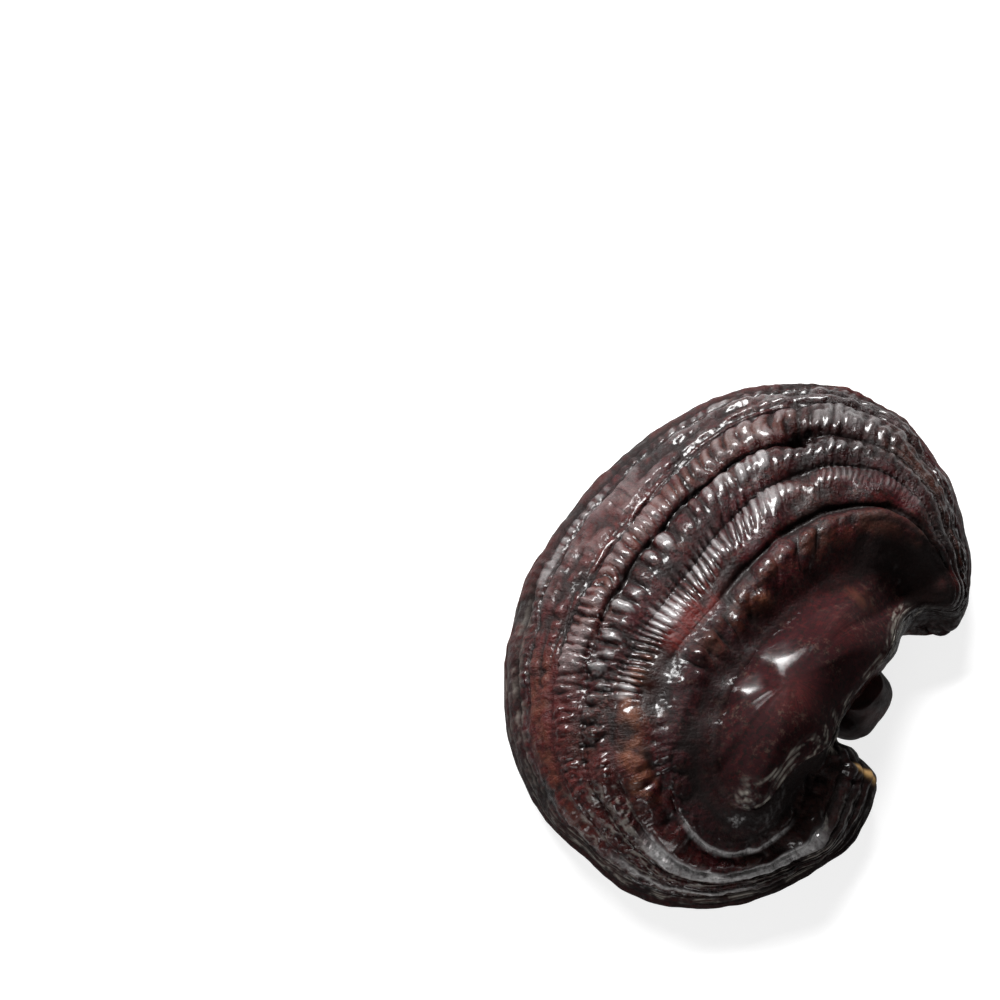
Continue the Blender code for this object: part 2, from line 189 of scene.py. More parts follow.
# Steps from 0 to 1 that crowd towards both ends: t less a share of the sine of a full turn.
def gathered(steps, share):
    t = ramp(steps)
    return t - share * np.sin(2 * np.pi * t) / (2 * np.pi)


# Random heights on a grid of cells, from -1 to 1, joined by eased straight lines.
def weave(across, along, seed, cells=256, rows=64):
    across, along = np.broadcast_arrays(across, along)
    table = np.random.default_rng(seed).uniform(-1, 1, (cells, rows))
    i, j = np.floor(across).astype(int), np.floor(along).astype(int)
    u, v = ease(across - i), ease(along - j)
    i0, i1, j0, j1 = i % cells, (i + 1) % cells, j % rows, (j + 1) % rows
    near = table[i0, j0] * (1 - u) + table[i1, j0] * u
    far = table[i0, j1] * (1 - u) + table[i1, j1] * u
    return near * (1 - v) + far * v


# The same in space: random values at the corners of cubes of the given size.
def cloud(points, size, seed, cells=32, shift=0.37):
    table = np.random.default_rng(seed).uniform(-1, 1, (cells, cells, cells))
    p = points / size + shift
    i = np.floor(p).astype(int)
    f = ease(p - i)
    total = 0.0
    for corner in np.ndindex(2, 2, 2):
        x, y, z = np.moveaxis((i + corner) % cells, -1, 0)
        total = total + table[x, y, z] * np.where(corner, f, 1 - f).prod(axis=-1)
    return total


# Spokes from the given one, the short way around, and negative before it.
def spokesFrom(place, spoke):
    return (place - spoke + spokeCount / 2) % spokeCount - spokeCount / 2


# 1 between two spokes, easing to 0 on both sides; spokes past 32 count on from 0.
def stretch(place, start, end, soft=0.8):
    away = np.abs(spokesFrom(place, (start + end) / 2))
    return ease(1 + ((end - start) / 2 - away) / soft)


# 1 between two bands, easing to 0 just inside both.
def belt(zone, start, end, soft=0.15):
    return ease((zone - start) / soft) * ease((end - zone) / soft)


# Sum of soft round spots, each given by plan x, y, radius and amount.
def nearSpots(points, spots):
    return sum(amount * np.exp(-(np.linalg.norm(points[:, :, :2] - (x, y), axis=2) / radius) ** 2)
               for x, y, radius, amount in spots)


# The smooth cap. The boss is a dome over its foot whose height falls as (1 - out^a)^b, a blend of an
# edged and an eased profile. The fan is a run through the growth lines, upright at the rim. The
# margin is a quarter turn from rim to lip. The pore face rises from the lip, is at full height from
# the ring under the boss on, and has a level seat over the stem. Bands then swell along the normals
# as (4t(1-t))^power, with a low power where they are firm and a high one where they run together.
def capSurface(form):
    place = np.concatenate([k + ramp(n) for k, n in enumerate(form["columns"])])
    spokes = closedCurve(range(spokeCount), form["spokes"], place)
    rim, rimHeight = spokes[:, None, 0:2], spokes[:, 2:3]
    foot, footHeight = spokes[:, None, 3:5], spokes[:, 5:6]
    lipHeight = np.maximum(spokes[:, 6:7], 0.0)
    length = np.linalg.norm(rim - foot, axis=2)
    inset = np.clip(form["lipInset"] * length, *form["lipInsetLimits"]) / length
    lip = rim + (foot - rim) * inset[:, :, None]
    keys = sorted(form["sections"])
    sections = np.array([np.ravel(form["sections"][key]) for key in keys])
    sections = closedCurve(keys, sections, place)
    zero = np.zeros((len(place), 1))
    share = np.hstack([zero, sections[:, 0::2], zero + 1])
    height = np.hstack([footHeight, sections[:, 1::2], rimHeight])

    out = 1 - (1 - ramp(form["bossRows"])) ** form["bossGather"]
    plan = form["crown"] + (foot - form["crown"]) * out[:, None]
    edged, eased = ((1 - out ** a) ** b for a, b in form["bossProfiles"])
    dome = eased + (edged - eased) * alongSpokes(form["bossEdged"], place)
    boss = np.dstack([plan, footHeight + (form["crownHeight"] - footHeight) * dome])

    bands = np.concatenate([k + gathered(n, form["gather"]) for k, n in enumerate(form["bandRows"])])
    shareSlope, heightSlope = np.gradient(share, axis=1), np.gradient(height, axis=1)
    shareSlope[:, -1] = 0.0
    heightSlope[:, 0] = 0.0
    plan = foot + (rim - foot) * acrossLines(share, shareSlope, bands)[:, :, None]
    fan = np.dstack([plan, acrossLines(height, heightSlope, bands)])

    turn = ramp(form["marginRows"]) * np.pi / 2
    plan = foot + (rim - foot) * (1 - inset * (1 - np.cos(turn)))[:, :, None]
    margin = np.dstack([plan, rimHeight + (lipHeight - rimHeight) * np.sin(turn)])

    ring = form["crown"] + (foot - form["crown"]) * form["innerRing"]
    outside, inside = ramp(form["poreRows"][0]), np.append(ramp(form["poreRows"][1]), 1.0)
    plan = np.concatenate([
        lip + (ring - lip) * outside[:, None], ring + (form["crown"] - ring) * inside[:, None]], axis=1)
    face = np.maximum(form["poreHeight"] - nearSpots(plan, form["poreDrops"]), lipHeight)
    atRing = np.append(outside, np.ones(len(inside)))
    rise = ease(np.maximum(np.linalg.norm(plan - lip, axis=2) / form["poreRise"], atRing))
    face = lipHeight + (face - lipHeight) * rise
    seatHeight, seatRadius, seatBlend = form["seat"]
    reach = np.linalg.norm(plan - form["stemCentre"], axis=2)
    seat = ease(1 + (seatRadius - reach) / seatBlend)
    seat[:, 0] = 0.0
    pores = np.dstack([plan, face + (seatHeight - face) * seat])

    band = bands.astype(int)
    width = np.hypot(np.diff(share, axis=1) * length, np.diff(height, axis=1))
    t = bands - band
    firm = alongSpokes(form["firmness"], place)
    arch = 4 * t * (1 - t)
    swell = firm * arch ** form["swellPower"]
    swell = swell + form["softSwell"] * (1 - firm) * arch ** form["softPower"]
    swell *= form["swell"][band] * width[:, band]
    rib = form["ribHeight"] * np.sin(2 * np.pi * form["ribs"] * place / spokeCount)
    fade = ease(bands - form["ribStart"]) * ease(len(form["bandRows"]) - bands)
    layers = np.abs(np.sin(form["marginLayers"] * 2 * turn)) ** form["swellPower"]
    lift = np.hstack([
        np.zeros(boss.shape[:2]),
        swell + rib[:, None] * fade,
        form["marginSwell"] * layers * ease(length / form["shortSpoke"]),
        np.zeros(pores.shape[:2]),
    ])
    points = np.concatenate([boss, fan, margin, pores], axis=1)
    points += outward(points) * lift[:, :, None]
    top = boss.shape[1] + fan.shape[1]
    points[:, :top, 2] += nearSpots(points[:, :top], form["lumps"])
    zone = np.concatenate([out - 1, bands, 7 + ramp(form["marginRows"]), 8 + outside, 9 + inside])
    bandOf = np.clip(zone, 0, 6).astype(int)
    return points, place[:, None], zone[None, :], width[:, bandOf]


# Fine relief. Each row gives spokes from and to, bands from and to, and its height at the end.
capDetail = {
    # rows of beads: spokes, one band, half a width in bands, beads a spoke and height
    "beads": (
        (10, 16.2, 3.68, 0.32, 2.7, 1.5), (10.5, 18.5, 6.1, 0.15, 6.5, 0.5),
        (15.8, 19.8, 3.64, 0.32, 4.6, 0.8), (6.5, 11.6, 6.03, 0.1, 9, 0.25),
        (16.8, 21.5, 6.2, 0.16, 5.2, 0.25), (9.5, 12.6, 4.28, 0.2, 3.4, 0.5),
        (12.2, 17.6, 1.05, 0.55, 1.5, 0.95),
    ),
    # ridges across a band, with ridges a spoke
    "teeth": (
        (11, 16, 2.35, 3.26, 5.2, 0.95), (15.5, 21, 2.5, 3.25, 7, 0.45),
        (11.5, 18.5, 4, 4.98, 4.8, 1.15), (6.5, 12.4, 3.08, 3.62, 5, 0.7),
        (6.3, 12, 3.62, 4.18, 5.6, 0.7), (6.3, 12.4, 4.25, 5.02, 5.8, 0.75),
        (15.5, 21, 4.1, 4.7, 4.3, 0.35), (2.5, 8, 3.1, 4, 5.5, 0.3),
        (3.5, 8.5, 4.1, 6, 5.5, 0.25), (13, 20, 5.1, 5.95, 4.4, 0.25),
        (9.5, 18.5, 5.95, 6.75, 5, 0.4),
    ),
    # pebbled skin, with pebbles a spoke and a band
    "pebbles": (
        (7, 12.4, 3, 5.1, 4.6, 4, 0.3), (12, 19.5, 5.05, 6, 4, 4, 0.45),
        (16.5, 22, 3.9, 6, 3.6, 3.4, 0.4), (3, 8.5, 1, 3.2, 2.6, 2, 0.4),
        (5, 11, 5, 6.1, 4, 3.4, 0.35),
    ),
    # knobbly skin, with the knobs' size
    "knobbly": (
        (5, 16.5, 0.5, 2.2, 4.5, 0.4), (14, 22, 0.1, 1.6, 6, 0.5), (-2, 4, 0.6, 6, 4, 0.5),
    ),
    # fine rings along the bands, with their number
    "rings": (
        (3, 11.6, 6.08, 7, 4, 0.3), (17.5, 23.5, 4, 7, 9, 0.3), (25, 31, 0, 7, 3, 0.12),
        (2.5, 9, 3, 6, 7, 0.22), (2, 20, 6.95, 8, 5, 0.18),
    ),
    # steps down towards the rim, with their number
    "terraces": (
        (2, 8.6, 2.2, 6.6, 6, 0.55), (-2.5, 2.5, 1, 7, 6, 0.35),
    ),
    # wrinkles along the edge of the boss, with their number
    "wrinkles": (
        (24.5, 31.5, -0.12, 0.02, 3, 0.3), (30.5, 37, -0.16, 0.02, 4, 0.35),
    ),
    # cracks along a band: spokes, band, half width and depth
    "cracks": (
        (11.6, 17.2, 4.93, 0.42, 0.9), (11.8, 16.6, 5.13, 0.32, 0.6), (15, 21.6, 2, 1, 0.5),
        (12.4, 16.5, 4.02, 0.45, 0.8), (11.4, 18, 5.5, 0.42, 0.7),
        (11, 18, 5.93, 0.4, 0.8), (11, 18, 6.3, 0.4, 0.8), (11, 18.5, 6.75, 0.38, 0.6),
    ),
    # pits (negative) and knobs: plan x, y, radius and height
    "knobs": (
        (14.6, 43.2, 1.6, -1.5), (17.4, 45.8, 1.2, -1.1), (11, 41, 1.3, -0.7),
        (-8.1, -10.7, 1.7, 0.8), (-10.9, -14.8, 1.4, 0.7), (-2.9, -6.4, 2, 0.7), (-0.8, -2.8, 1.7, 0.6),
        (-14.8, -21, 1.5, 0.6), (3.2, 0.5, 2.4, 0.8), (-6, -6.5, 1.3, 0.5),
        (-3.2, -21.6, 4, 1.25), (2.4, -13.4, 4.2, 1.25), (2, -17.4, 2.4, -0.5), (14, -8, 3.4, -0.4),
    ),
    "lumps": ((9, 0.5), (4.2, 0.3), (2.1, 0.12), (1.1, 0.05)),  # size and height
    "lumpsOnBoss": (0.9, -1.5, -0.1, 0.15),  # share taken off there, bands from and to, softness
    # each kind: how far it wanders off its line, power of its profile, share of its height taken off
    # so that there is a hollow between two, mean and spread of its sizes
    "beadKind": (0.35, 0.75, 0.42, 0.75, 0.4),
    # the same, and softness of its ends in bands and in spokes
    "kinds": {
        "teeth": (0.5, 0.8, 0.5, 0.7, 0.45, 0.2, 0.8),
        "pebbles": (0, 1, 0.8, 1, 0, 0.3, 1.5),
        "knobbly": (0, 1, 0.7, 1, 0, 0.4, 1.5),
        "rings": (0.3, 0.6, 0.5, 1, 0, 0.1, 0.8),
        "terraces": (0.35, 1.5, 0, 1, 0, 0.2, 1),
        "wrinkles": (0.7, 1.5, 0.3, 0.6, 0.6, 0.04, 0.8),
    },
    "crackWander": 0.05,
    "beadLength": 1.15,  # more is shorter
    "beadShift": 0.35,  # across the row, in half widths
    "finer": (0.4, 2, 2.1),  # second size of pebbles: share, finer around and outward
    "finerKnobs": (0.5, 2.2),  # second size of knobs: share, how much smaller
    "stepFace": 0.28,  # share of a terrace that its drop takes
    "underneath": 0.4,  # share of the relief on the pore face
    "crownBlend": 0.1,  # bands over which it starts at the crown
}


# Everything finer than the bands, as a height along the normal. Beads are (1 - along^2 - across^2)
# to a power, teeth and rings |sin| to a power, pebbles and knobs the size of random heights,
# terraces a rise to a power and an eased drop, wrinkles a tent to a power, cracks a bell across.
def capRelief(points, place, zone, width, detail):
    relief = np.zeros(points.shape[:2])
    seed = 10
    wander, power, sunk, mean, spread = detail["beadKind"]
    for start, end, centre, half, count, height in detail["beads"]:
        seed += 1
        phase = place * count + wander * weave(place * count / 2, 0.0, seed)
        size = mean + spread * weave(np.floor(phase), 0.0, seed + 100)
        shift = detail["beadShift"] * half * weave(np.floor(phase), 8.0, seed + 200)
        along, across = 2 * (phase % 1) - 1, (zone - centre - shift) / half
        bead = np.clip(1 - detail["beadLength"] * along ** 2 - across ** 2, 0, 1) ** power
        row = np.clip(1 - across ** 2, 0, 1)
        relief += height * size * (bead - sunk * row) * stretch(place, start, end)
    for kind, (wander, power, sunk, mean, spread, fade, soft) in detail["kinds"].items():
        for start, end, first, last, *counts, height in detail[kind]:
            seed += 1
            count, size = counts[0], 0.0
            phase = (zone - first) / (last - first) * count
            if kind == "teeth":
                phase = place * count + wander * weave(place * count / 3, zone * 2, seed)
                form = np.abs(np.sin(np.pi * phase)) ** power
                size = weave(place * count / 1.7, zone * 1.5, seed + 100)
            elif kind == "pebbles":
                share, finerAround, finerOut = detail["finer"]
                around, out = place * count, zone * counts[1]
                finer = weave(around * finerAround, out * finerOut, seed + 100)
                form = 2 * (np.abs(weave(around, out, seed)) + share * np.abs(finer))
            elif kind == "knobbly":
                share, smaller = detail["finerKnobs"]
                form = 2 * np.abs(cloud(points, count, seed))
                form += share * np.abs(cloud(points, count / smaller, seed + 100))
            elif kind == "rings":
                phase = phase + wander * weave(place * 1.5, zone, seed, 48)
                form = np.abs(np.sin(np.pi * phase)) ** power
            elif kind == "terraces":
                phase = (phase + wander * weave(place * 1.2, zone * 0.5, seed, 48)) % 1
                form = phase ** power - ease((phase - 1) / detail["stepFace"] + 1)
            elif kind == "wrinkles":
                phase = (phase + wander * weave(place * 1.3, zone * 3, seed, 48)) % 1
                form = (1 - np.abs(2 * phase - 1)) ** power
                size = weave(place * 2.0, zone * 6, seed + 100, 64)
            form = height * (form - sunk) * (mean + spread * size)
            relief += form * belt(zone, first, last, fade) * stretch(place, start, end, soft)
    for start, end, centre, half, depth in detail["cracks"]:
        seed += 1
        path = centre + detail["crackWander"] * weave(place * 2.5, 0.0, seed, 80)
        away = (zone - path) * width
        relief -= depth * np.exp(-((away / half) ** 2)) * stretch(place, start, end)
    share, first, last, soft = detail["lumpsOnBoss"]
    for size, height in detail["lumps"]:
        seed += 1
        relief += height * cloud(points, size, seed) * (1 - share * belt(zone, first, last, soft))
    relief += nearSpots(points, detail["knobs"]) * (zone < 7)
    return relief * np.where(zone < 8, 1.0, detail["underneath"]) * ease((zone + 1) / detail["crownBlend"])


# Puts an object with this data into the scene.
def addObject(name, data):
    item = bpy.data.objects.new(name, data)
    bpy.context.scene.collection.objects.link(item)
    return item


# A grid's values in the order of the mesh's corners: one for the first column, one for the last.
def flat(grid):
    between = grid[:, 1:-1].reshape(-1, *grid.shape[2:])
    return np.concatenate([grid[:1, 0], between, grid[:1, -1]])


# A closed mesh from a grid that closes around and ends in a point at both ends of its rows.
def skinMesh(name, points, attributes, material):
    places, rows = points.shape[:2]
    corners = flat((points - planMiddle) * mm)
    corners = np.clip(corners, cadBox[0], cadBox[1])
    index = 1 + np.arange(places * (rows - 2)).reshape(places, rows - 2)
    after = np.roll(index, -1, axis=0)
    quads = np.stack([index[:, :-1], after[:, :-1], after[:, 1:], index[:, 1:]], axis=2).reshape(-1, 4)
    first = np.stack([np.zeros(places, int), after[:, 0], index[:, 0]], axis=1)
    last = np.stack([np.full(places, len(corners) - 1), index[:, -1], after[:, -1]], axis=1)
    mesh = bpy.data.meshes.new(name)
    mesh.from_pydata(corners.tolist(), [], quads.tolist() + first.tolist() + last.tolist())
    for key, grid in attributes.items():
        kind, field = ("FLOAT_VECTOR", "vector") if grid.ndim == 3 else ("FLOAT", "value")
        data = mesh.attributes.new(key, kind, "POINT").data
        data.foreach_set(field, flat(grid).astype(np.float32).ravel())
    mesh.shade_smooth()
    mesh.materials.append(material)
    print(name, "has", 2 * len(quads) + 2 * places, "triangles")
    return addObject(name, mesh)


# Adds a node, sets what it is told, and links inputs that are given as sockets.
def addNode(tree, kind, inputs=None, **settings):
    item = tree.nodes.new(kind)
    for key, value in settings.items():
        setattr(item, key, value)
    for key, value in (inputs or {}).items():
        if isinstance(value, bpy.types.NodeSocket):
            tree.links.new(value, item.inputs[key])
        else:
            item.inputs[key].default_value = value
    return item


# Small node helpers; each gives back the socket that it makes.
def mixColour(tree, factor, first, second):
    item = addNode(tree, "ShaderNodeMix", {0: factor, 6: first, 7: second}, data_type="RGBA")
    return item.outputs[2]


def calculate(tree, operation, first, second, clamp=False):
    item = addNode(tree, "ShaderNodeMath", {0: first, 1: second}, operation=operation, use_clamp=clamp)
    return item.outputs[0]


# The product of sockets and numbers, taken from the left.
def product(tree, first, *others):
    for other in others:
        first = calculate(tree, "MULTIPLY", first, other)
    return first


# Their sum, taken from the left.
def total(tree, first, *others):
    for other in others:
        first = calculate(tree, "ADD", first, other)
    return first


def mapRange(tree, value, low, high, newLow=0.0, newHigh=1.0):
    inputs = {0: value, 1: low, 2: high, 3: newLow, 4: newHigh}
    return addNode(tree, "ShaderNodeMapRange", inputs, interpolation_type="SMOOTHSTEP").outputs[0]


def attribute(tree, name, output="Fac"):
    return addNode(tree, "ShaderNodeAttribute", attribute_name=name).outputs[output]


def noise(tree, vector, scale, detail=3.0, roughness=0.55, distortion=0.0):
    inputs = {"Vector": vector, "Scale": scale, "Detail": detail, "Roughness": roughness}
    inputs["Distortion"] = distortion
    return addNode(tree, "ShaderNodeTexNoise", inputs).outputs["Fac"]


# A mask of noise: its scale, detail and roughness, then its low and high end and what they become.
def noiseMask(tree, place, scale, detail, roughness, *ends):
    return mapRange(tree, noise(tree, place, scale, detail, roughness), *ends)


# A material with its shader, the coordinates it uses and the crust's patches and grain.
def newMaterial(name, look):
    material = bpy.data.materials.new(name)
    material.use_nodes = True
    tree = material.node_tree
    crust = addNode(tree, "ShaderNodeGroup", node_tree=crustGroup)
    crust.inputs["Patch Scale"].default_value = look["patchScale"]
    crust.inputs["Grain Scale"].default_value = look["grainScale"]
    shader = tree.nodes["Principled BSDF"]
    shader.inputs["Coat Roughness"].default_value = look["coatRoughness"]
    shader.inputs["Specular IOR Level"].default_value = look["specularLevel"]
    place = addNode(tree, "ShaderNodeTexCoord").outputs["Object"]
    return material, tree, shader, place, crust.outputs["Patches"], crust.outputs["Height"]


# Links a colour, a roughness and a coat to the shader, and a height to it through a bump.
def finishMaterial(tree, shader, colour, roughness, coat, height, distance):
    bump = addNode(tree, "ShaderNodeBump", {"Height": height, "Distance": distance})
    sockets = {"Base Color": colour, "Roughness": roughness, "Coat Weight": coat, "Normal": bump.outputs[0]}
    for key, socket in sockets.items():
        tree.links.new(socket, shader.inputs[key])


# Dried crust that both materials use.
crustLook = {
    "patches": (4, 0.6, 0.6),  # detail, roughness and distortion of the noise
    "patchEnds": (0.35, 0.68),
    "grain": (4, 0.6),
}


# Crust skin: a mask of soft patches and a height of dried skin grain.
def makeCrustGroup(look):
    tree = bpy.data.node_groups.new("crustSkin", "ShaderNodeTree")
    sockets = {"Patch Scale": "INPUT", "Grain Scale": "INPUT", "Patches": "OUTPUT", "Height": "OUTPUT"}
    for key, side in sockets.items():
        tree.interface.new_socket(key, in_out=side, socket_type="NodeSocketFloat")
    source, sink = tree.nodes.new("NodeGroupInput"), tree.nodes.new("NodeGroupOutput")
    place = addNode(tree, "ShaderNodeTexCoord").outputs["Object"]
    patches = noise(tree, place, source.outputs["Patch Scale"], *look["patches"])
    tree.links.new(mapRange(tree, patches, *look["patchEnds"]), sink.inputs["Patches"])
    grain = noise(tree, place, source.outputs["Grain Scale"], *look["grain"])
    tree.links.new(grain, sink.inputs["Height"])
    return tree


crustGroup = makeCrustGroup(crustLook)

capLook = {
    "maroon": (0.031, 0.0030, 0.0046, 1),
    "darkMaroon": (0.010, 0.0018, 0.0023, 1),
    "wine": (0.012, 0.0009, 0.0019, 1),
    "brown": (0.029, 0.0100, 0.0075, 1),
    "ember": (0.080, 0.0085, 0.0065, 1),
    "ochre": (0.102, 0.035, 0.018, 1),
    # near black: fine black flecks, and painted shade where the shade mask lies
    "nearBlack": (0.0035, 0.0014, 0.0012, 1),
    # pale: dry lines at the notch edge, and painted sheen on step faces and painted highlights on the rim's
    # ring crests
    "dryAndSheenPale": (0.26, 0.24, 0.21, 1),
    # pale grey painted sheen on crests and on the bottom ridges
    "bloom": (0.36, 0.35, 0.35, 1),
    "dust": (0.11, 0.070, 0.052, 1),
    "tornFlesh": (0.60, 0.36, 0.14, 1),
    "pore": (0.26, 0.155, 0.075, 1),
    "poreDark": (0.10, 0.055, 0.028, 1),
    # noise masks: scale, detail, roughness, low and high end of the noise, and what these become
    "brownPatches": (55, 3, 0.55, 0.45, 0.7),
    "emberFlecks": (800, 4, 0.7, 0.48, 0.66, 0, 0.35),
    "blackFlecks": (900, 4, 0.7, 0.48, 0.62, 0, 0.85),
    "dustFlecks": (700, 5, 0.75, 0.5, 0.66, 0, 0.3),
    "dustPatches": (130, 2, 0.55, 0.42, 0.65),
    "ochreMottle": (240, 4, 0.65, 0.38, 0.62),
    "dryAndSheenMottle": (260, 3, 0.55, 0.42, 0.6),
    "glossMottle": (850, 3, 0.55, 0.33, 0.67, -0.4, 0.35),
    "broadBump": (330, 2),  # scale and detail
    "streaks": (1, 4, 0.6, 0.4),  # scale, detail, roughness, distortion of those along the bands
    "emberStreaks": (0.3, 0.62),
    # streaks along the bands that break up the painted sheen
    "sheenStreaks": (0.25, 0.6, 0.3, 1),
    "brownShare": 0.7,
    "wineShare": 0.9,
    "emberLossInWine": 0.5,
    "poreScale": 2600,
    "poreEnds": (0.15, 0.45),
    "roughness": (0.50, 0.24),  # where it is dull and where it is glossy
    "dullRoughness": 0.45,  # added on the pore face and on dull parts
    "coat": (0, 0.75),
    "coatRoughness": 0.155,
    "specularLevel": 0.16,
    "refraction": 1.45,
    "glossMottleGain": 5,
    "patchScale": 95,
    "grainScale": 1500,
    "bumpDistance": 0.001,
    "streakHeight": 0.55,
    "grainOnWrinkles": 0.20,
    "poreHeight": 0.25,
}


# Lacquered crust: colours in layers from below to above, each with its own mask, and tan pores under
# the cap. The near-black layer on the shade mask is painted shade. The pale grey layer on crests and
# bottom ridges is a painted sheen. The pale layer at the notch edge, bottom terraces and rim is dry
# lines with painted sheen and highlights. Roughness and coat follow the gloss. The bump is streaks,
# broad noise, grain and pores.
def makeCapMaterial(look):
    material, tree, shader, place, patches, grain = newMaterial("lacqueredCrust", look)
    streaks = noise(tree, attribute(tree, "grain", "Vector"), *look["streaks"])
    names = "pores wine ember ochre shade dry bloom torn gloss dull wrinkle uneven"
    masks = {name: attribute(tree, name) for name in names.split()}
    pores, uneven = masks["pores"], masks["uneven"]
    mottle = lambda key: noiseMask(tree, place, *look[key])
    brownPatches = mottle("brownPatches")
    wine = product(tree, masks["wine"], look["wineShare"])
    notWine = calculate(tree, "SUBTRACT", 1.0, product(tree, wine, look["emberLossInWine"]))
    layers = (
        ("brown", product(tree, brownPatches, look["brownShare"])),
        ("wine", wine),
        ("ember", product(tree, mottle("emberFlecks"), notWine)),
        ("nearBlack", mottle("blackFlecks")),
        ("dust", product(tree, mottle("dustFlecks"), mottle("dustPatches"))),
        ("ember", product(tree, masks["ember"], mapRange(tree, streaks, *look["emberStreaks"]))),
        ("ochre", product(tree, masks["ochre"], mottle("ochreMottle"))),
        # painted shade: near black in crevices, dips, the hollow, the lobe under the boss and the rim
        ("nearBlack", masks["shade"]),
        # pale dry lines at the notch edge, with painted sheen on the bottom terrace faces and painted
        # highlights on the rim's ring crests
        ("dryAndSheenPale", product(tree, masks["dry"], mottle("dryAndSheenMottle"))),
        # painted sheen: pale grey on the tops of beads, combs and bands and on the bottom ridges
        ("bloom", product(tree, masks["bloom"], mapRange(tree, streaks, *look["sheenStreaks"]))),
        ("tornFlesh", masks["torn"]),
    )
    colour = mixColour(tree, patches, look["darkMaroon"], look["maroon"])
    for key, mask in layers:
        colour = mixColour(tree, mask, colour, look[key])
    poreSpots = addNode(tree, "ShaderNodeTexVoronoi", {"Vector": place, "Scale": look["poreScale"]})
    poreSpots = poreSpots.outputs["Distance"]
    poreColour = mapRange(tree, poreSpots, *look["poreEnds"])
    poreColour = mixColour(tree, poreColour, look["poreDark"], look["pore"])
    poreColour = mixColour(tree, brownPatches, poreColour, look["poreDark"])
    colour = mixColour(tree, pores, colour, poreColour)

    glossNoise = product(tree, mottle("glossMottle"), uneven, look["glossMottleGain"])
    gloss = calculate(tree, "ADD", masks["gloss"], glossNoise, True)
    dull = calculate(tree, "MAXIMUM", pores, masks["dull"])
    roughness = mapRange(tree, gloss, 0.0, 1.0, *look["roughness"])
    roughness = calculate(tree, "ADD", roughness, product(tree, dull, look["dullRoughness"]), True)
    coat = mapRange(tree, gloss, 0.0, 1.0, *look["coat"])
    coat = product(tree, coat, calculate(tree, "SUBTRACT", 1.0, pores))
    shader.inputs["IOR"].default_value = look["refraction"]

    grainShare = total(tree, product(tree, masks["wrinkle"], look["grainOnWrinkles"]), uneven)
    height = total(
        tree,
        product(tree, streaks, masks["wrinkle"], look["streakHeight"]),
        product(tree, noise(tree, place, *look["broadBump"]), uneven),
        product(tree, grain, grainShare),
        product(tree, poreSpots, pores, look["poreHeight"]),
    )
    finishMaterial(tree, shader, colour, roughness, coat, height, look["bumpDistance"])
    return material


